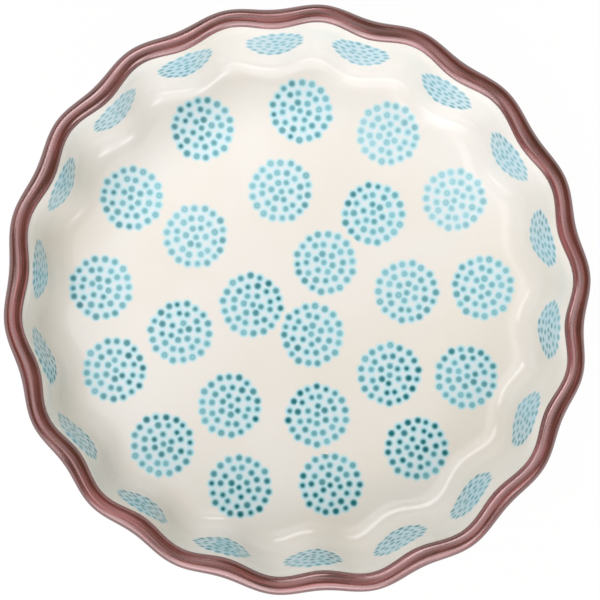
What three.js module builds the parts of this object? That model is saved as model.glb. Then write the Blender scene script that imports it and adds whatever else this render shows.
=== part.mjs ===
// A shallow round tart dish of glazed stoneware: a flat floor, a fluted wall that flares at the top,
// a rolled lip under a coloured band, and a bare foot ring. Millimetres, +Z up. The origin is on the
// resting plane, under the middle of the dish.
import * as THREE from "three";

// Driving dimensions
const rimDiameter = 160; // outside, over the outward flutes, glaze included
const dishHeight = 30; // resting plane to the top of the lip, glaze included
const wallThickness = 3.9; // bare clay, and the lip is rounded over this thickness
const wallLean = 16; // degrees that the straight part of the wall leans outwards from upright
const flareLean = 45; // degrees that the wall leans where it meets the rounded lip
const flareRadius = 9; // the wall's bend between those two leans, to the middle of the wall
const floorThickness = 4; // bare clay
const floorFillet = 8; // glazed inside corner between floor and wall
const heelRadius = 8; // outside corner under the wall, bare clay
const footDiameter = 122; // outside of the foot ring
const footWidth = 4.5;
const footHeight = 1.6;
const footBevel = 0.5; // on both edges of the foot ring's resting face
const glazeThickness = 0.4; // from the clay to the glazed surface
const seam = 0.05; // hair line left between one coat and the next, and between a coat and the clay
const bareLine = 1; // wiped clay left between the foot ring and the glaze around it
const bandReachInside = 1.4; // how far the band runs down from the rounded lip, along the middle of the wall
const bandReachOutside = 3;

// Flutes
const fluteCount = 18;
const fluteDepthAtLip = 1.85; // crest to trough, along the radius
const fluteDepthAtFloor = 3.2;
const fluteLeftAtCorner = 0.75; // what is left of that depth where a corner meets the floor or the underside

// Facets
const stepsPerFlute = 6;
const cornerSteps = 3;
const flareSteps = 2;
const lipSteps = 4;

// Heights, angles and centres that follow from the driving dimensions
const lean = THREE.MathUtils.degToRad(wallLean);
const lipLean = THREE.MathUtils.degToRad(flareLean);
const straightDown = -Math.PI / 2;
const lipRadius = wallThickness / 2;
const clayFillet = floorFillet + glazeThickness;
const floorTop = footHeight + floorThickness;
const flareLength = flareRadius * (lipLean - lean);
const lipCentre = new THREE.Vector2(
  rimDiameter / 2 - fluteDepthAtLip / 2 - glazeThickness - lipRadius,
  dishHeight - glazeThickness - lipRadius,
);
const flareCentre = lipCentre.clone().addScaledVector(outwards(lipLean), flareRadius);

// The direction in the dish's section that points out of a wall with this lean, on its outer side.
function outwards(angle) {
  return new THREE.Vector2(Math.cos(angle), -Math.sin(angle));
}

// The point of the section that lies `down` along the wall's middle line from the lip's centre,
// and `out` beside it.
function besideWall(out, down) {
  const onFlare = Math.min(down, flareLength);
  const angle = lipLean - onFlare / flareRadius;
  const downwards = new THREE.Vector2(-Math.sin(angle), -Math.cos(angle));
  return flareCentre
    .clone()
    .addScaledVector(outwards(angle), out - flareRadius)
    .addScaledVector(downwards, down - onFlare);
}

// How far down the wall the straight line `out` beside its middle reaches the height z.
function downToHeight(out, z) {
  return flareLength + (besideWall(out, flareLength).y - z) / Math.cos(lean);
}

// Half the flute's depth at a distance down the wall.
function fluteAt(down) {
  const share = down / downToHeight(0, floorTop);
  return THREE.MathUtils.lerp(fluteDepthAtLip, fluteDepthAtFloor, share) / 2;
}

// A point of the section with no flute.
function plain(r, z) {
  return { r, z, flute: 0 };
}

// A point of the section on a side of the wall.
function onWall(out, down) {
  const point = besideWall(out, down);
  return { r: point.x, z: point.y, flute: fluteAt(down) };
}

// The side of the wall that lies `out` beside its middle, between two distances down it.
function wallSide(out, from, to) {
  const flare = Array.from({ length: flareSteps + 1 }, (_, step) => (step / flareSteps) * flareLength);
  const between = flare.filter((down) => down > from && down < to);
  return [from, ...between, to].map((down) => onWall(out, down));
}

// That side from a distance down the wall to the end of the corner below it, where the flute fades.
function wallAndCorner(out, from, centreOut, centreHeight) {
  const down = downToHeight(centreOut, centreHeight);
  const centre = besideWall(centreOut, down);
  const radius = out - centreOut;
  const corner = Array.from({ length: cornerSteps }, (_, step) => {
    const share = (step + 1) / cornerSteps;
    const angle = THREE.MathUtils.lerp(-lean, straightDown, share);
    return {
      r: centre.x + radius * Math.cos(angle),
      z: centre.y + radius * Math.sin(angle),
      flute: fluteAt(down) * THREE.MathUtils.lerp(1, fluteLeftAtCorner, share),
    };
  });
  return [...wallSide(out, from, down), ...corner];
}

// The inside of the dish, from `from` down the wall to the floor, on the surface that stands `coat`
// proud of the clay.
function inside(coat, from) {
  const centreOut = -(lipRadius + clayFillet);
  return wallAndCorner(-(lipRadius + coat), from, centreOut, floorTop + clayFillet);
}

// The outside of the dish, from `from` down the wall to the underside, on the surface that stands
// `coat` proud of the clay.
function outside(coat, from) {
  return wallAndCorner(lipRadius + coat, from, lipRadius - heelRadius, footHeight + heelRadius);
}

// The lip from one edge of the band to the other, from the inside over the rounded top to the outside.
function lip(coat) {
  const radius = lipRadius + coat;
  const round = Array.from({ length: lipSteps - 1 }, (_, step) => {
    const angle = THREE.MathUtils.lerp(Math.PI - lipLean, -lipLean, (step + 1) / lipSteps);
    return {
      r: lipCentre.x + radius * Math.cos(angle),
      z: lipCentre.y + radius * Math.sin(angle),
      flute: fluteAt(0),
    };
  });
  const upInside = wallSide(-radius, 0, bandReachInside).reverse();
  return [...upInside, ...round, ...wallSide(radius, 0, bandReachOutside)];
}

// A closed section turned round the dish's axis, with each point moved in and out by its own flute.
// Each facet is split along its shorter diagonal, so that the faces of two pieces that meet are split
// alike.
function fluted(section) {
  const around = fluteCount * stepsPerFlute;
  const points = section.map((point) => new THREE.Vector2(point.r, point.z));
  const geometry = new THREE.LatheGeometry(points, around);
  const position = geometry.getAttribute("position");
  for (let step = 0; step <= around; step++) {
    const angle = ((step % around) / around) * 2 * Math.PI;
    const wave = Math.cos(((step % stepsPerFlute) / stepsPerFlute) * 2 * Math.PI);
    section.forEach((point, index) => {
      const radius = point.r + point.flute * wave;
      const vertex = step * section.length + index;
      position.setXYZ(vertex, radius * Math.cos(angle), radius * Math.sin(angle), point.z);
    });
  }
  const at = (vertex) => new THREE.Vector3().fromBufferAttribute(position, vertex);
  const triangles = [];
  for (let step = 0; step < around; step++) {
    for (let index = 0; index < section.length - 1; index++) {
      const a = step * section.length + index;
      const b = a + section.length;
      const c = b + 1;
      const d = a + 1;
      const splitAtoC = at(a).distanceTo(at(c)) < at(b).distanceTo(at(d));
      triangles.push(...(splitAtoC ? [a, b, c, a, c, d] : [a, b, d, c, d, b]));
    }
  }
  geometry.setIndex(triangles);
  geometry.computeVertexNormals();
  return geometry;
}

// The fired clay: floor, fluted wall, rolled lip and foot ring in one casting.
function stonewareBody() {
  const footOuter = footDiameter / 2;
  const footInner = footOuter - footWidth;
  return fluted([
    plain(0, footHeight),
    plain(footInner, footHeight),
    plain(footInner, footBevel),
    plain(footInner + footBevel, 0),
    plain(footOuter - footBevel, 0),
    plain(footOuter, footBevel),
    plain(footOuter, footHeight),
    ...outside(0, bandReachOutside).slice(1).reverse(),
    ...lip(0).reverse(),
    ...inside(0, bandReachInside).slice(1),
    plain(0, floorTop),
  ]);
}

// The cream coat that lines the dish up to the band.
function insideGlaze() {
  const from = bandReachInside + seam;
  return fluted([
    plain(0, floorTop + seam),
    ...inside(seam, from).reverse(),
    ...inside(glazeThickness, from),
    plain(0, floorTop + glazeThickness),
  ]);
}

// The cream coat from the band down the outside and under the heel, as far as the wiped line by the foot.
function outsideGlaze() {
  const from = bandReachOutside + seam;
  const wipedAt = footDiameter / 2 + bareLine;
  const first = plain(wipedAt, footHeight - glazeThickness);
  return fluted([
    first,
    ...outside(glazeThickness, from).reverse(),
    ...outside(seam, from),
    plain(wipedAt, footHeight - seam),
    first,
  ]);
}

// The cream coat on the underside, within the foot ring.
function undersideGlaze() {
  const wipedAt = footDiameter / 2 - footWidth - bareLine;
  return fluted([
    plain(0, footHeight - glazeThickness),
    plain(wipedAt, footHeight - glazeThickness),
    plain(wipedAt, footHeight - seam),
    plain(0, footHeight - seam),
  ]);
}

// The coloured cap over the lip.
function rimBand() {
  const onClay = lip(seam);
  return fluted([...onClay, ...lip(glazeThickness).reverse(), onClay[0]]);
}

const clayColour = 0xcdbba3;
const creamColour = 0xf1ece2;
const roseColour = 0x8c5653;
const bareRoughness = 0.85;
const glazedRoughness = 0.2;

const dish = new THREE.Group();
const pieces = [
  ["stoneware_body", stonewareBody(), clayColour, bareRoughness],
  ["inside_glaze", insideGlaze(), creamColour, glazedRoughness],
  ["outside_glaze", outsideGlaze(), creamColour, glazedRoughness],
  ["underside_glaze", undersideGlaze(), creamColour, glazedRoughness],
  ["rim_band", rimBand(), roseColour, glazedRoughness],
];
for (const [name, geometry, color, roughness] of pieces) {
  const material = new THREE.MeshStandardMaterial({ color, roughness, metalness: 0 });
  const mesh = new THREE.Mesh(geometry, material);
  mesh.name = name;
  dish.add(mesh);
}

export default dish;
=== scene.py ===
import bpy
import bmesh
import math
import random
from mathutils import Matrix, Vector, noise


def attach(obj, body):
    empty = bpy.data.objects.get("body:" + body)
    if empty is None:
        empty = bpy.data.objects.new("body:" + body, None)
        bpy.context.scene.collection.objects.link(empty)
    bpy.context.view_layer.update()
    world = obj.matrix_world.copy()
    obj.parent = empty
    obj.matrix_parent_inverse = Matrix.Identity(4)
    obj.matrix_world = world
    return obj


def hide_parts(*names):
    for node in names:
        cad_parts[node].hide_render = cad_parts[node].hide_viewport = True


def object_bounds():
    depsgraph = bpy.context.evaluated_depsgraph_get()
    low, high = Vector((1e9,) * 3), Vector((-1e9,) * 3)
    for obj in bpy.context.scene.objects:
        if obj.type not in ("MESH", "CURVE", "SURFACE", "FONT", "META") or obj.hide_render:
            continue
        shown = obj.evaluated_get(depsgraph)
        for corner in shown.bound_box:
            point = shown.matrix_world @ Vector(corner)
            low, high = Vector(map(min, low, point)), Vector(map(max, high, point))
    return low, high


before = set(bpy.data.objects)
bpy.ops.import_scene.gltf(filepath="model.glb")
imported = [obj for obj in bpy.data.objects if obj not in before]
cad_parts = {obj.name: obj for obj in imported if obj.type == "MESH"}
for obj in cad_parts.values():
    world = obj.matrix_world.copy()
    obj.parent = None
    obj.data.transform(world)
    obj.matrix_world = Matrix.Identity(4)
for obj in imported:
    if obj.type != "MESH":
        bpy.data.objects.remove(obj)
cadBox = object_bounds()
mm = 0.001
rimRadius = (cadBox[1][0] - cadBox[0][0]) / 2
dishHeight = cadBox[1][2] - cadBox[0][2]
print("frame loaded, rim", round(rimRadius / mm, 2), "mm, height", round(dishHeight / mm, 2), "mm")

# the dish's section, as the solids have it
dish = {
    "wallThickness": 3.9 * mm,
    "wallLean": math.radians(16),
    "flareLean": math.radians(45),
    "flareRadius": 9 * mm,
    "floorTop": 5.6 * mm,            # bare clay, above the resting plane
    "floorFillet": 8 * mm,
    "heelRadius": 8 * mm,
    "footRadius": 61 * mm,
    "footWidth": 4.5 * mm,
    "footHeight": 1.6 * mm,
    "footRound": 0.6 * mm,
    "glaze": 0.4 * mm,
    "seam": 0.05 * mm,
    "bareLine": 1 * mm,
    "bandInside": 1.4 * mm,          # along the middle of the wall, from the lip's centre
    "bandOutside": 3 * mm,
    "bandRoll": 0.4 * mm,            # how far its edge inside stands proud of the wall
    "rollRise": 0.5 * mm,            # the roll is full this far in from that edge,
    "rollEnd": 3.4 * mm,             # gone this far in,
    "rollFall": 2.2 * mm,            # and fades over this length before that
    "fluteCount": 18,
    "fluteAtLip": 0.925 * mm,        # half of crest to trough
    "fluteAtFloor": 1.6 * mm,
    "fluteTaper": 0.055,             # deeper on the inside of the wall, shallower on the outside
    "fluteLeftAtCorner": 0.9,
    "stepsAround": 360,
    "fineStep": 0.7 * mm,            # spacing of rings on a wall that shows
    "coarseStep": 2.5 * mm,          # and on one that is covered
    "lipStep": 0.2 * mm,
    "coveredLipStep": 1.2 * mm,
    "floorStep": 1.2 * mm,
    "coveredFloorStep": 8 * mm,
    "undersideStep": 3 * mm,
    "sharpFrom": math.radians(50),   # edges sharper than this aren't smoothed
}

# how far a hand-finished dish is from a perfect one
handWork = {
    # lobes, share of the radius, heading of the first lobe
    "outOfRound": ((0, -0.0060, 0),
                   (2, 0.0100, math.radians(-59)),
                   (3, 0.0045, math.radians(43)),
                   (4, 0.0038, math.radians(30))),
    "fluteDrift": math.radians(0.5),
    "driftWaves": (3, 0.8),          # waves around the rim, and where they start
    "fluteUneven": 0.07,
    "unevenWaves": (5, 2.1),
    "dent": 0.10 * mm,
    "dentScale": 34,
}

halfWall = dish["wallThickness"] / 2
lipRound = halfWall + dish["glaze"]
lipAxis = Vector((rimRadius - dish["fluteAtLip"] - lipRound, dishHeight - lipRound))
flareLength = dish["flareRadius"] * (dish["flareLean"] - dish["wallLean"])
clayFillet = dish["floorFillet"] + dish["glaze"]


def outOf(lean):
    return Vector((math.cos(lean), -math.sin(lean)))


flareAxis = lipAxis + outOf(dish["flareLean"]) * dish["flareRadius"]


# a point `down` the wall's middle line and `out` beside it
def besideWall(out, down):
    onFlare = min(down, flareLength)
    lean = dish["flareLean"] - onFlare / dish["flareRadius"]
    downwards = Vector((-math.sin(lean), -math.cos(lean)))
    return flareAxis + outOf(lean) * (out - dish["flareRadius"]) + downwards * (down - onFlare)


def downToHeight(out, height):
    return flareLength + (besideWall(out, flareLength).y - height) / math.cos(dish["wallLean"])


def fluteAt(out, down):
    share = down / downToHeight(0, dish["floorTop"])
    middle = dish["fluteAtLip"] + (dish["fluteAtFloor"] - dish["fluteAtLip"]) * share
    return middle - dish["fluteTaper"] * out


def between(first, last, step):
    count = max(1, math.ceil(abs(last - first) / step))
    return [first + (last - first) * i / count for i in range(count + 1)]


def plain(radius, height):
    return (radius, height, 0.0)


# one side of the wall and the corner under it, as (radius, height, flute)
def wallAndCorner(out, start, axisOut, axisHeight, step):
    down = downToHeight(axisOut, axisHeight)
    axis = besideWall(axisOut, down)
    line = [(*besideWall(out, d), fluteAt(out, d)) for d in between(start, down, step)]
    radius = out - axisOut
    turn = between(-dish["wallLean"], -math.pi / 2, step / radius)
    for angle in turn[1:]:
        share = (angle - turn[0]) / (turn[-1] - turn[0])
        flute = fluteAt(out, down) * (1 - share * (1 - dish["fluteLeftAtCorner"]))
        line.append((axis.x + radius * math.cos(angle), axis.y + radius * math.sin(angle), flute))
    return line


def insideLine(coat, start, step):
    axisOut = -(halfWall + clayFillet)
    return wallAndCorner(-(halfWall + coat), start, axisOut, dish["floorTop"] + clayFillet, step)


def outsideLine(coat, start, step):
    axisOut = halfWall - dish["heelRadius"]
    return wallAndCorner(halfWall + coat, start, axisOut, dish["footHeight"] + dish["heelRadius"], step)


# over the lip, from the band's edge inside to its edge outside
def lipLine(coat, step):
    radius = halfWall + coat
    over = []
    for angle in between(math.pi, 0, step / radius):
        point = lipAxis + Matrix.Rotation(angle - dish["flareLean"], 2) @ Vector((radius, 0))
        over.append((*point, fluteAt(radius * math.cos(angle), 0)))
    rise = [(*besideWall(-radius, d), fluteAt(-radius, d)) for d in between(dish["bandInside"], 0, step)]
    fall = [(*besideWall(radius, d), fluteAt(radius, d)) for d in between(0, dish["bandOutside"], step)]
    return rise[:-1] + over + fall[1:]


# a flat stretch from the end of a line to another radius
def flatTo(point, radius, step):
    stops = between(point[0], radius, step)
    flutes = [point[2] * (1 - i / (len(stops) - 1)) for i in range(len(stops))]
    return [(r, point[1], f) for r, f in zip(stops[1:], flutes[1:])]


# spins an outline round the dish's axis; "run" keeps how far along the outline a ring lies,
# and "climb" how much longer that way is than straight out from the axis
def turnOutline(outline, closed, steps=dish["stepsAround"]):
    bm = bmesh.new()
    flute = bm.verts.layers.float.new("flute")
    run = bm.verts.layers.float.new("run")
    climb = bm.verts.layers.float.new("climb")
    verts = []
    along = 0.0
    for i, (radius, height, depth) in enumerate(outline):
        if i:
            along += math.dist(outline[i - 1][:2], (radius, height))
        vert = bm.verts.new((radius, 0, height))
        vert[flute] = depth
        vert[run] = along
        vert[climb] = along - radius
        verts.append(vert)
    edges = [bm.edges.new(pair) for pair in zip(verts, verts[1:])]
    if closed:
        edges.append(bm.edges.new((verts[-1], verts[0])))
    bmesh.ops.spin(bm, geom=verts + edges, cent=(0, 0, 0), axis=(0, 0, 1), dvec=(0, 0, 0),
                   angle=2 * math.pi, steps=steps, use_merge=True)
    bmesh.ops.remove_doubles(bm, verts=bm.verts, dist=0.001 * mm)
    bmesh.ops.recalc_face_normals(bm, faces=bm.faces)
    return bm


# flutes, and the small faults of a hand-finished dish, alike on every coat
def fluteByHand(bm):
    flute = bm.verts.layers.float["flute"]
    driftCount, driftStart = handWork["driftWaves"]
    unevenCount, unevenStart = handWork["unevenWaves"]
    for vert in bm.verts:
        radius = vert.co.xy.length
        if radius < 0.01 * mm:
            continue
        angle = math.atan2(vert.co.y, vert.co.x)
        drift = handWork["fluteDrift"] * math.sin(driftCount * angle + driftStart)
        uneven = 1 + handWork["fluteUneven"] * math.sin(unevenCount * angle + unevenStart)
        wave = math.cos(dish["fluteCount"] * (angle + drift)) * uneven
        above = min(1, max(0, (vert.co.z - dish["footHeight"]) / dish["floorTop"]))
        lobes = sum(size * math.cos(n * (angle - first)) for n, size, first in handWork["outOfRound"])
        dent = above * handWork["dent"] * noise.noise(vert.co * handWork["dentScale"])
        grown = (radius + vert[flute] * wave) * (1 + above * lobes) + dent
        vert.co.x *= grown / radius
        vert.co.y *= grown / radius
        vert.co.z += dent * (1 - vert.co.z / dishHeight)


def addPiece(bm, name, node, material):
    mesh = bpy.data.meshes.new(name)
    bm.to_mesh(mesh)
    bm.free()
    mesh.shade_smooth()
    mesh.set_sharp_from_angle(angle=dish["sharpFrom"])
    mesh.materials.append(material)
    piece = bpy.data.objects.new(name, mesh)
    bpy.context.scene.collection.objects.link(piece)
    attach(piece, "root")
    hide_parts(node)
    print(name, "made,", len(mesh.polygons), "faces")
    return piece


# shorthands for shader nodes
def newMaterial(name):
    material = bpy.data.materials.new(name)
    material.use_nodes = True
    return material, material.node_tree, material.node_tree.nodes["Principled BSDF"]


def feed(tree, socket, value):
    if isinstance(value, bpy.types.NodeSocket):
        tree.links.new(value, socket)
    else:
        socket.default_value = value


def calc(tree, operation, *values, clamp=False):
    node = tree.nodes.new("ShaderNodeMath")
    node.operation = operation
    node.use_clamp = clamp
    for socket, value in zip(node.inputs, values):
        feed(tree, socket, value)
    return node.outputs[0]


def blendColours(tree, factor, first, second):
    node = tree.nodes.new("ShaderNodeMix")
    node.data_type = "RGBA"
    feed(tree, node.inputs["Factor"], factor)
    feed(tree, node.inputs["A"], first)
    feed(tree, node.inputs["B"], second)
    return node.outputs["Result"]


def ease(tree, value, low, high):
    node = tree.nodes.new("ShaderNodeMapRange")
    node.interpolation_type = "SMOOTHSTEP"
    feed(tree, node.inputs["Value"], value)
    feed(tree, node.inputs["From Min"], low)
    feed(tree, node.inputs["From Max"], high)
    return node.outputs["Result"]


def cloud(tree, scale, detail):
    place = tree.nodes.new("ShaderNodeTexCoord")
    node = tree.nodes.new("ShaderNodeTexNoise")
    node.inputs["Scale"].default_value = scale
    node.inputs["Detail"].default_value = detail
    tree.links.new(place.outputs["Object"], node.inputs["Vector"])
    return node.outputs["Fac"]


def bump(tree, shader, height, distance, strength):
    node = tree.nodes.new("ShaderNodeBump")
    node.inputs["Distance"].default_value = distance
    node.inputs["Strength"].default_value = strength
    tree.links.new(height, node.inputs["Height"])
    tree.links.new(node.outputs["Normal"], shader.inputs["Normal"])


# an sRGB colour of 0 to 255 as the linear one that shaders take
def paint(red, green, blue):
    def linear(level):
        share = level / 255
        return share / 12.92 if share <= 0.04045 else ((share + 0.055) / 1.055) ** 2.4
    return (linear(red), linear(green), linear(blue), 1.0)


creamGlaze = {
    "cream": paint(243, 240, 235),
    "warmer": paint(239, 234, 225),
    "cloudScale": 28,
    "cloudRange": (0.35, 0.75),
    "roughness": (0.10, 0.20),
    "skinScale": 160,
    "skinDepth": 0.04 * mm,
    "skinStrength": 0.25,
}


# the cream itself, with clouds of a warmer tone and an uneven gloss
def layCream(tree, shader):
    clouds = ease(tree, cloud(tree, creamGlaze["cloudScale"], 4), *creamGlaze["cloudRange"])
    tone = blendColours(tree, clouds, creamGlaze["cream"], creamGlaze["warmer"])
    skin = cloud(tree, creamGlaze["skinScale"], 3)
    low, high = creamGlaze["roughness"]
    spread = calc(tree, "MULTIPLY_ADD", clouds, high - low, low)
    tree.links.new(spread, shader.inputs["Roughness"])
    bump(tree, shader, skin, creamGlaze["skinDepth"], creamGlaze["skinStrength"])
    return tone


def plainCream():
    material, tree, shader = newMaterial("cream_glaze")
    tree.links.new(layCream(tree, shader), shader.inputs["Base Color"])
    return material


# the dot stamp: rings of dots one pitch apart, round a dot in the middle
stamp = {
    "pitch": 2.58 * mm,
    "rings": 3,
    "dotsPerRing": 6,                # times the ring's number
    "ringTwist": 0.35,
    "dotRadius": (0.24, 0.10),       # of the least dot in pitches, and how much more the largest has
    "dotSoft": 0.17,
    "dotStray": 0.24,
    "cutSeed": 0.5,                  # for the dots' sizes and stray, alike in all prints
    "bleed": (0.05, 0.42),           # past the last ring, where the wash is full and where it ends
    "halo": (0.30, 0.64),            # the same, from the middle of a dot
    "dark": paint(28, 114, 122),
    "light": paint(112, 182, 192),
    "wash": paint(181, 234, 246),
    "ground": paint(222, 238, 246),  # between the dots
    "wallWash": paint(184, 219, 232),
    "groundCover": 0.85,
    # each as a slope and a start
    "inkAcross": (0.09, 0.75),       # one side of a print takes more ink than the other
    "inkOfDot": (0.5, 0.65),         # by chance
    "coverOfDot": (0.4, 0.6),        # by its ink
    "coverOfPress": (0.6, 0.42),     # by the print's ink, on the dots
    "washOfPress": (0.55, 0.50),     # and between them
    # a dot short of ink is pale in its middle
    "starvedMiddle": (0.22, 0.06),   # in pitches
    "starvedInk": (0.75, 0.35),
    "starvedChance": (0.45, 0.75),
    "starvedLoss": 0.5,
    # three rings, listed: heading in degrees, mm from the middle, and ink
    "floorPrints": (
        (46.6, 13.8, 0.81), (178.9, 11.5, 0.95), (-65.6, 10.3, 0.92),
        (0.5, 31.4, 0.77), (43.2, 32.8, 0.88), (91.5, 30.8, 0.76), (141.4, 32.3, 0.74),
        (-169.9, 32.2, 0.98), (-126.5, 33.3, 1.02), (-83.2, 31.7, 1.08), (-41.6, 33.0, 1.20),
        (-0.3, 52.4, 0.77), (27.7, 52.8, 0.46), (55.7, 53.5, 0.52), (82.9, 52.6, 0.92),
        (113.0, 53.7, 1.00), (142.7, 52.7, 0.88), (171.1, 52.9, 0.93), (-164.0, 52.3, 1.07),
        (-137.5, 53.0, 1.15), (-111.1, 52.7, 1.33), (-83.3, 51.0, 1.35), (-54.7, 52.4, 1.46),
        (-28.0, 51.8, 0.92)),
    # and one on each ridge of the wall, with mm up it from the floor's edge
    "wallPrints": (
        (9.3, 17.9), (29.2, 18.3), (49.5, 18.4), (70.8, 18.3), (90.1, 18.6), (110.6, 19.2),
        (129.3, 19.2), (149.2, 19.5), (168.6, 19.1), (187.8, 19.4), (207.0, 19.3), (228.2, 18.7),
        (248.1, 18.9), (268.6, 18.7), (288.3, 18.0), (306.8, 18.5), (327.7, 18.4), (348.6, 18.3)),
    "wallSize": (0.91, 0.76),        # of a floor print, around the wall and up it
    "wallDroop": 0.7,                # how far a print sinks where its ridge falls back
    "wallFrom": 3 * mm,              # faces further up than this take the wall's prints
    "wallInk": 0.85,
    "litPaleSide": math.radians(60),    # the wall's prints are paler on this side, where the wall is lit, and darker opposite, in its shade: painted light and shade
    "litPaleLoss": 0.2,
    "inkStray": 0.1,
    "place": "stampPlace",
    "tone": "stampTone",
    "far": 9.0,                      # a place outside every print
    "seed": 11,
}


def stampedCream():
    material, tree, shader = newMaterial("stamped_cream_glaze")
    cream = layCream(tree, shader)

    def readMap(name):
        node = tree.nodes.new("ShaderNodeUVMap")
        node.uv_map = name
        split = tree.nodes.new("ShaderNodeSeparateXYZ")
        tree.links.new(node.outputs["UV"], split.inputs["Vector"])
        return split.outputs["X"], split.outputs["Y"]

    def length(x, y):
        squares = calc(tree, "ADD", calc(tree, "MULTIPLY", x, x), calc(tree, "MULTIPLY", y, y))
        return calc(tree, "SQRT", squares)

    def scatter(x, y, z):
        joined = tree.nodes.new("ShaderNodeCombineXYZ")
        for socket, value in zip(joined.inputs, (x, y, z)):
            feed(tree, socket, value)
        node = tree.nodes.new("ShaderNodeTexWhiteNoise")
        node.noise_dimensions = "3D"
        tree.links.new(joined.outputs["Vector"], node.inputs["Vector"])
        split = tree.nodes.new("ShaderNodeSeparateColor")
        tree.links.new(node.outputs["Color"], split.inputs["Color"])
        return split.outputs

    def rising(value, name, clamp=False):
        return calc(tree, "MULTIPLY_ADD", value, *stamp[name], clamp=clamp)

    x, y = readMap(stamp["place"])
    press, seed = readMap(stamp["tone"])

    # which dot of which ring is nearest
    reach = length(x, y)
    ring = calc(tree, "MINIMUM", calc(tree, "ROUND", reach), stamp["rings"])
    dots = calc(tree, "MAXIMUM", calc(tree, "MULTIPLY", ring, stamp["dotsPerRing"]), 1)
    twist = calc(tree, "MULTIPLY", ring, stamp["ringTwist"])
    turn = calc(tree, "SUBTRACT", calc(tree, "ARCTAN2", y, x), twist)
    spacing = calc(tree, "DIVIDE", 2 * math.pi, dots)
    number = calc(tree, "FLOORED_MODULO", calc(tree, "ROUND", calc(tree, "DIVIDE", turn, spacing)), dots)
    angle = calc(tree, "MULTIPLY_ADD", number, spacing, twist)

    # the dot's own size and stray belong to the stamp, its ink to each print
    cut = scatter(ring, number, stamp["cutSeed"])
    ink = scatter(ring, number, seed)
    strayX = calc(tree, "MULTIPLY", calc(tree, "SUBTRACT", cut[0], 0.5), stamp["dotStray"])
    strayY = calc(tree, "MULTIPLY", calc(tree, "SUBTRACT", cut[1], 0.5), stamp["dotStray"])
    dotX = calc(tree, "ADD", calc(tree, "MULTIPLY", ring, calc(tree, "COSINE", angle)), strayX)
    dotY = calc(tree, "ADD", calc(tree, "MULTIPLY", ring, calc(tree, "SINE", angle)), strayY)
    offX = calc(tree, "SUBTRACT", x, dotX)
    offY = calc(tree, "SUBTRACT", y, dotY)
    off = length(offX, offY)
    least, more = stamp["dotRadius"]
    radius = calc(tree, "MULTIPLY_ADD", cut[2], more, least)
    fromEdge = calc(tree, "SUBTRACT", off, radius)
    core = ease(tree, fromEdge, stamp["dotSoft"], -stamp["dotSoft"])
    full, gone = stamp["bleed"]
    disc = ease(tree, reach, stamp["rings"] + gone, stamp["rings"] + full)
    full, gone = stamp["halo"]
    halo = ease(tree, off, gone, full)
    inside = calc(tree, "LESS_THAN", reach, stamp["rings"] + gone + stamp["dotStray"])

    # how much ink each dot holds, and how well it covers
    strength = calc(tree, "MULTIPLY", calc(tree, "MULTIPLY", rising(x, "inkAcross"), press),
                    rising(ink[0], "inkOfDot"), clamp=True)
    starved = calc(tree, "MULTIPLY", ease(tree, off, *stamp["starvedMiddle"]),
                   ease(tree, strength, *stamp["starvedInk"]))
    starved = calc(tree, "MULTIPLY", starved, ease(tree, ink[1], *stamp["starvedChance"]))
    coreInk = calc(tree, "MULTIPLY", core, calc(tree, "MULTIPLY_ADD", starved, -stamp["starvedLoss"], 1.0))
    coreInk = calc(tree, "MULTIPLY", calc(tree, "MULTIPLY", coreInk, inside), rising(strength, "coverOfDot"))
    # a light press leaves every tone of the print paler
    covered = rising(press, "washOfPress", clamp=True)
    coreInk = calc(tree, "MULTIPLY", coreInk, rising(press, "coverOfPress", clamp=True))
    # on the wall the ink ran together
    onWall = calc(tree, "LESS_THAN", seed, 0)
    ground = blendColours(tree, onWall, stamp["ground"], stamp["wallWash"])
    wash = blendColours(tree, onWall, stamp["wash"], stamp["wallWash"])
    blue = blendColours(tree, strength, stamp["light"], stamp["dark"])
    groundInk = calc(tree, "MULTIPLY", disc, calc(tree, "MULTIPLY", covered, stamp["groundCover"]))
    washInk = calc(tree, "MULTIPLY", calc(tree, "MULTIPLY", halo, inside), covered)
    tone = blendColours(tree, groundInk, cream, ground)
    tone = blendColours(tree, washInk, tone, wash)
    tree.links.new(blendColours(tree, coreInk, tone, blue), shader.inputs["Base Color"])
    return material


# the middle, turn, ink and seed of each print; on the wall the middle is a heading and a rise,
# and the seed is negative
def planPrints(floorEdge):
    rand = random.Random(stamp["seed"])

    def press(ink, side):
        return rand.uniform(0, 2 * math.pi), ink, side * rand.uniform(1, 99)

    floorPrints, wallPrints = [], []
    for degrees, away, ink in stamp["floorPrints"]:
        heading = math.radians(degrees)
        middle = Vector((math.cos(heading), math.sin(heading))) * away * mm
        floorPrints.append((middle, *press(ink, 1)))
    for degrees, rise in stamp["wallPrints"]:
        heading = math.radians(degrees)
        # painted light and shade: prints on the lit side of the wall are paler, those on the shaded side
        # darker
        pale = math.cos(heading - stamp["litPaleSide"])
        ink = stamp["wallInk"] - stamp["litPaleLoss"] * pale + rand.uniform(-stamp["inkStray"], stamp["inkStray"])
        wallPrints.append((Vector((heading, floorEdge + rise * mm)), *press(ink, -1)))
    return floorPrints, wallPrints


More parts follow.
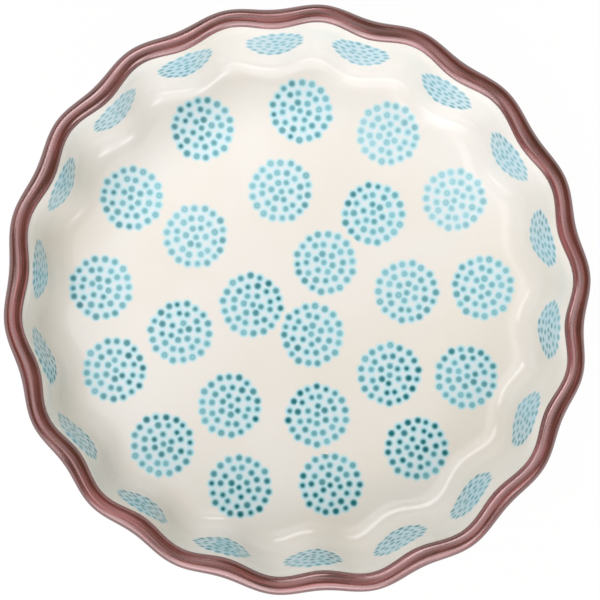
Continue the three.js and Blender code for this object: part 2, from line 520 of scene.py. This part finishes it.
# gives the faces of each print their place in the stamp and their ink, and all others a place outside it
def placeStamps(bm, floorEdge):
    floorPrints, wallPrints = planPrints(floorEdge)
    size = (stamp["rings"] + 1) * stamp["pitch"]
    run = bm.verts.layers.float["run"]
    climb = bm.verts.layers.float["climb"]
    flute = bm.verts.layers.float["flute"]
    place = bm.loops.layers.uv.new(stamp["place"])
    tone = bm.loops.layers.uv.new(stamp["tone"])

    # the surface as if it were rolled out flat from the axis
    def onFloor(vert, middle):
        return vert.co.xy * (1 + vert[climb] / max(vert.co.xy.length, mm)) - middle

    # around the wall and up it, from the middle of a print
    def onWall(vert, middle):
        radius = vert.co.xy.length
        aside = (math.atan2(vert.co.y, vert.co.x) - middle.x + math.pi) % (2 * math.pi) - math.pi
        fallenBack = radius - (vert[run] - vert[climb]) + vert[flute]
        up = vert[run] - middle.y + stamp["wallDroop"] * fallenBack
        return Vector((aside * radius / stamp["wallSize"][0], up / stamp["wallSize"][1]))

    for face in bm.faces:
        first = face.verts[0]
        onTheWall = first[run] > floorEdge + stamp["wallFrom"]
        local, prints = (onWall, wallPrints) if onTheWall else (onFloor, floorPrints)
        middle, twist, press, seed = min(prints, key=lambda p: local(first, p[0]).length)
        inPrint = local(first, middle).length < size
        spin = Matrix.Rotation(twist, 2)
        for loop in face.loops:
            here = spin @ local(loop.vert, middle) / stamp["pitch"]
            loop[place].uv = here if inPrint else (stamp["far"], stamp["far"])
            loop[tone].uv = (press, seed)


def insideGlaze():
    start = dish["bandInside"]
    shown = insideLine(dish["glaze"], start, dish["fineStep"])
    hidden = insideLine(dish["seam"], start, dish["coarseStep"])
    floor = flatTo(shown[-1], 0, dish["floorStep"])
    under = flatTo(hidden[-1], 0, dish["coveredFloorStep"])
    outline = floor[::-1] + shown[::-1] + hidden + under
    bm = turnOutline(outline, False)
    fluteByHand(bm)
    placeStamps(bm, shown[-1][0])
    return addPiece(bm, "inside_glaze_coat", "inside_glaze", stampedCream())


def outsideGlaze():
    start = dish["bandOutside"]
    shown = outsideLine(dish["glaze"], start, dish["fineStep"])
    hidden = outsideLine(dish["seam"], start, dish["coarseStep"])
    wipedAt = dish["footRadius"] + dish["bareLine"]
    outline = shown + flatTo(shown[-1], wipedAt, dish["fineStep"])
    outline += flatTo(hidden[-1], wipedAt, dish["coarseStep"])[::-1] + hidden[::-1]
    bm = turnOutline(outline, True)
    fluteByHand(bm)
    return addPiece(bm, "outside_glaze_coat", "outside_glaze", plainCream())


def undersideGlaze():
    wipedAt = dish["footRadius"] - dish["footWidth"] - dish["bareLine"]
    low = dish["footHeight"] - dish["glaze"]
    high = dish["footHeight"] - dish["seam"]
    shown = [plain(r, low) for r in between(0, wipedAt, dish["undersideStep"])]
    outline = shown + [plain(wipedAt, high), plain(0, high)]
    bm = turnOutline(outline, False)
    fluteByHand(bm)
    return addPiece(bm, "underside_glaze_coat", "underside_glaze", plainCream())


roseGlaze = {
    "rose": paint(102, 37, 41),
    "dark": paint(68, 22, 26),
    # pooled glaze and painted shade at the band's edges
    "pooledAndShaded": paint(46, 15, 18),
    "thin": paint(148, 72, 77),
    "shine": (1.0, 0.73, 0.71, 1.0),      # the gloss is faintly red, like a lustre
    "poolAndShadeInside": 0.45 * mm,              # the glaze gathers along its edge inside, and painted shade darkens it there
    "poolAndShadeOutside": (4.2 * mm, 7.0 * mm),  # and painted shade, with glaze run thick, down the outer side of the lip
    "poolAndShadeDepth": (0.6, 0.75),             # how dark the pooled glaze and painted shade get there, inside and outside
    "cloudScale": 90,
    "cloudRange": (0.3, 0.72),
    "roughness": (0.22, 0.32),
    "ior": 2.7,                           # an iron-rich glaze with a strong shine
    "run": "bandRun",                     # across the band, from its edge inside
    "brushWidth": 0.55 * mm,              # streaks of the brush, along the rim
    "brushTurns": 4,
    "brushThin": (0.48, 0.72),            # where a streak starts and is full
    "brushDepth": 0.07 * mm,
    "brushStrength": 0.6,
}


def roseBand():
    material, tree, shader = newMaterial("rose_glaze")
    clouds = ease(tree, cloud(tree, roseGlaze["cloudScale"], 5), *roseGlaze["cloudRange"])
    across = tree.nodes.new("ShaderNodeAttribute")
    across.attribute_name = roseGlaze["run"]
    across = across.outputs["Fac"]

    # streaks: a noise that is drawn out along the rim
    place = tree.nodes.new("ShaderNodeTexCoord")
    outward = tree.nodes.new("ShaderNodeVectorMath")
    outward.operation = "NORMALIZE"
    tree.links.new(place.outputs["Object"], outward.inputs[0])
    split = tree.nodes.new("ShaderNodeSeparateXYZ")
    tree.links.new(outward.outputs["Vector"], split.inputs["Vector"])
    joined = tree.nodes.new("ShaderNodeCombineXYZ")
    for axis in "XY":
        turns = calc(tree, "MULTIPLY", split.outputs[axis], roseGlaze["brushTurns"])
        tree.links.new(turns, joined.inputs[axis])
    tree.links.new(calc(tree, "DIVIDE", across, roseGlaze["brushWidth"]), joined.inputs["Z"])
    brush = tree.nodes.new("ShaderNodeTexNoise")
    brush.inputs["Scale"].default_value = 1
    brush.inputs["Detail"].default_value = 2
    tree.links.new(joined.outputs["Vector"], brush.inputs["Vector"])
    brush = brush.outputs["Fac"]

    tone = blendColours(tree, clouds, roseGlaze["dark"], roseGlaze["rose"])
    tone = blendColours(tree, ease(tree, brush, *roseGlaze["brushThin"]), tone, roseGlaze["thin"])
    # painted shade: the band darkens along its edge inside and down the outer side of the lip, partly for
    # glaze gathered thick
    innerDepth, outerDepth = roseGlaze["poolAndShadeDepth"]
    inner = calc(tree, "MULTIPLY", ease(tree, across, roseGlaze["poolAndShadeInside"], 0), innerDepth)
    outer = calc(tree, "MULTIPLY", ease(tree, across, *roseGlaze["poolAndShadeOutside"]), outerDepth)
    pooledAndShaded = calc(tree, "MAXIMUM", inner, outer)
    tree.links.new(blendColours(tree, pooledAndShaded, tone, roseGlaze["pooledAndShaded"]), shader.inputs["Base Color"])
    shader.inputs["IOR"].default_value = roseGlaze["ior"]
    shader.inputs["Specular Tint"].default_value = roseGlaze["shine"]
    low, high = roseGlaze["roughness"]
    tree.links.new(calc(tree, "MULTIPLY_ADD", clouds, high - low, low), shader.inputs["Roughness"])
    bump(tree, shader, brush, roseGlaze["brushDepth"], roseGlaze["brushStrength"])
    return material


# thickens the band from a quick rise at its edge inside down to nothing on top of the lip
def rollEdge(line):
    def smooth(share):
        share = min(1, max(0, share))
        return share * share * (3 - 2 * share)

    rolled = []
    along = 0.0
    for i, (radius, height, flute) in enumerate(line):
        before, after = line[max(0, i - 1)], line[min(len(line) - 1, i + 1)]
        if i:
            along += math.dist(before[:2], (radius, height))
        out = Vector((before[1] - after[1], after[0] - before[0])).normalized()
        proud = dish["bandRoll"] * smooth(along / dish["rollRise"])
        proud *= smooth((dish["rollEnd"] - along) / dish["rollFall"])
        rolled.append((radius + out.x * proud, height + out.y * proud, flute))
    return rolled


def rimBand():
    shown = rollEdge(lipLine(dish["glaze"], dish["lipStep"]))
    outline = shown + lipLine(dish["seam"], dish["coveredLipStep"])[::-1]
    bm = turnOutline(outline, True, 2 * dish["stepsAround"])  # finer, or its highlight shows steps
    run = bm.verts.layers.float["run"]
    across = bm.verts.layers.float.new(roseGlaze["run"])
    for vert in bm.verts:
        vert[across] = vert[run]
    fluteByHand(bm)
    return addPiece(bm, "rim_glaze_band", "rim_band", roseBand())


clay = {
    "buff": paint(205, 188, 164),
    "pale": paint(222, 209, 188),
    "cloudScale": 70,
    "grit": paint(150, 128, 104),
    "gritScale": 1400,
    "gritRange": (0.66, 0.74),
    "roughness": 0.85,
    "toothScale": 900,
    "toothDepth": 0.08 * mm,
    "toothStrength": 0.5,
}


def bareClay():
    material, tree, shader = newMaterial("bare_stoneware")
    clouds = cloud(tree, clay["cloudScale"], 4)
    grit = ease(tree, cloud(tree, clay["gritScale"], 2), *clay["gritRange"])
    tone = blendColours(tree, clouds, clay["buff"], clay["pale"])
    tree.links.new(blendColours(tree, grit, tone, clay["grit"]), shader.inputs["Base Color"])
    shader.inputs["Roughness"].default_value = clay["roughness"]
    bump(tree, shader, cloud(tree, clay["toothScale"], 4), clay["toothDepth"], clay["toothStrength"])
    return material


def stonewareBody():
    outer = dish["footRadius"]
    inner = outer - dish["footWidth"]
    high = dish["footHeight"]
    edge = dish["footRound"]
    quarter = between(0, math.pi / 2, math.radians(15))
    foot = [plain(0, high), plain(inner * 0.5, high), plain(inner, high)]
    foot += [plain(inner + edge * (1 - math.cos(a)), edge * (1 - math.sin(a))) for a in quarter]
    foot += [plain(outer - edge * (1 - math.cos(a)), edge * (1 - math.sin(a))) for a in quarter[::-1]]
    foot += [plain(outer, high)]
    wallOutside = outsideLine(0, dish["bandOutside"], dish["coarseStep"])
    wallInside = insideLine(0, dish["bandInside"], dish["coarseStep"])
    lip = lipLine(0, dish["coveredLipStep"])
    floor = flatTo(wallInside[-1], 0, dish["coveredFloorStep"])
    outline = foot + wallOutside[:0:-1] + lip[::-1] + wallInside[1:] + floor
    bm = turnOutline(outline, False)
    fluteByHand(bm)
    return addPiece(bm, "stoneware_clay", "stoneware_body", bareClay())


stonewareBody()
insideGlaze()
outsideGlaze()
undersideGlaze()
rimBand()

# camera: nearly overhead, standing off to the lower left of the picture
view = {
    "tilt": math.radians(5.5),
    "towards": math.radians(-148),   # in the picture, anticlockwise from its right
    "roll": math.radians(4.9),       # a crest on +X shows this far round
    "distance": 0.85,
    "halfWidth": 80.2 * mm,          # of the picture, on the rim's plane
    "offCentre": (-0.02 * mm, -0.54 * mm),
}


def addCamera():
    right = Vector((math.cos(view["roll"]), -math.sin(view["roll"]), 0))
    up = Vector((math.sin(view["roll"]), math.cos(view["roll"]), 0))
    aside = right * math.cos(view["towards"]) + up * math.sin(view["towards"])
    back = aside * math.sin(view["tilt"]) + Vector((0, 0, 1)) * math.cos(view["tilt"])
    aim = Vector((0, 0, dishHeight - lipRound)) + right * view["offCentre"][0] + up * view["offCentre"][1]
    acrossX = up.cross(back).normalized()
    acrossY = back.cross(acrossX)
    data = bpy.data.cameras.new("overhead_camera")
    data.sensor_width = 36
    data.lens = data.sensor_width / 2 * view["distance"] / view["halfWidth"]
    camera = bpy.data.objects.new("overhead_camera", data)
    turned = Matrix((acrossX, acrossY, back)).transposed().to_4x4()
    camera.matrix_world = Matrix.Translation(aim + back * view["distance"]) @ turned
    bpy.context.scene.collection.objects.link(camera)
    bpy.context.scene.camera = camera


# lights: heading in the picture, height above the table, distance, size and power
lights = {
    "key_softbox": (-80, 36, 0.9, (1.00, 0.75), 4.15),
    "low_softbox": (-102, 13, 0.9, (1.30, 0.34), 3.4),
    "near_panel": (-118, 32, 0.9, (0.60, 0.50), 0.8),
    "side_glint": (-46, 42, 0.9, (0.28, 0.18), 0.55),
    "far_window": (124, 47, 0.9, (1.05, 0.26), 3.9),
    "high_panel": (155, 75, 0.9, (0.80, 0.50), 1.85),
}
daylight = (0.95, 0.94, 1.0)


def addLights():
    for name, (heading, height, distance, size, power) in lights.items():
        turn = math.radians(heading) - view["roll"]
        rise = math.radians(height)
        side = Vector((math.cos(turn), math.sin(turn), 0)) * math.cos(rise)
        data = bpy.data.lights.new(name, "AREA")
        data.shape = "RECTANGLE"
        data.size, data.size_y = size
        data.energy = power
        data.color = daylight
        lamp = bpy.data.objects.new(name, data)
        lamp.location = (side + Vector((0, 0, math.sin(rise)))) * distance
        lamp.rotation_euler = lamp.location.to_track_quat("Z", "Y").to_euler()
        bpy.context.scene.collection.objects.link(lamp)


studio = {
    "floorRadius": 2.4,              # metres, the flat of the table
    "floorSteps": 96,
    "backRise": 0.5,                 # of the sweep at its edge
    "clear": 0.05 * mm,              # left under the foot
    "white": 0.6,
    "glow": 1.04,
    "shadowKept": 0.08,
    "fill": (1.0, 0.88, 0.46),
    "fillLevel": 0.19,
}


def addStudio():
    # a flat table that sweeps up at its edge
    rise, low = studio["backRise"], -studio["clear"]
    sweep = [plain(studio["floorRadius"] + rise * math.sin(a), rise * (1 - math.cos(a)) + low)
             for a in between(0, math.pi / 2, math.radians(9))]
    bm = turnOutline([plain(0, low)] + sweep, False, studio["floorSteps"])
    mesh = bpy.data.meshes.new("table")
    bm.to_mesh(mesh)
    bm.free()
    mesh.shade_smooth()
    material, tree, shader = newMaterial("white_table")
    shader.inputs["Base Color"].default_value = (studio["white"],) * 3 + (1,)
    shader.inputs["Roughness"].default_value = 0.9
    glow = tree.nodes.new("ShaderNodeEmission")
    glow.inputs["Strength"].default_value = studio["glow"]
    # seen straight or in a reflection the table is white, and it keeps a little of the shadow
    path = tree.nodes.new("ShaderNodeLightPath")
    mixed = tree.nodes.new("ShaderNodeMixShader")
    looks = calc(tree, "MAXIMUM", path.outputs["Is Camera Ray"], path.outputs["Is Glossy Ray"])
    looks = calc(tree, "MAXIMUM", looks, path.outputs["Is Transmission Ray"])
    seen = calc(tree, "MULTIPLY", looks, 1 - studio["shadowKept"])
    tree.links.new(seen, mixed.inputs["Fac"])
    tree.links.new(shader.outputs["BSDF"], mixed.inputs[1])
    tree.links.new(glow.outputs["Emission"], mixed.inputs[2])
    tree.links.new(mixed.outputs["Shader"], tree.nodes["Material Output"].inputs["Surface"])
    mesh.materials.append(material)
    table = bpy.data.objects.new("table", mesh)
    bpy.context.scene.collection.objects.link(table)

    world = bpy.data.worlds.new("studio")
    bpy.context.scene.world = world
    world.use_nodes = True
    sky = world.node_tree.nodes["Background"]
    sky.inputs["Color"].default_value = (*studio["fill"], 1)
    sky.inputs["Strength"].default_value = studio["fillLevel"]


addCamera()
addLights()
addStudio()
bpy.context.scene.view_settings.view_transform = "Standard"
print("camera, lights and table set")
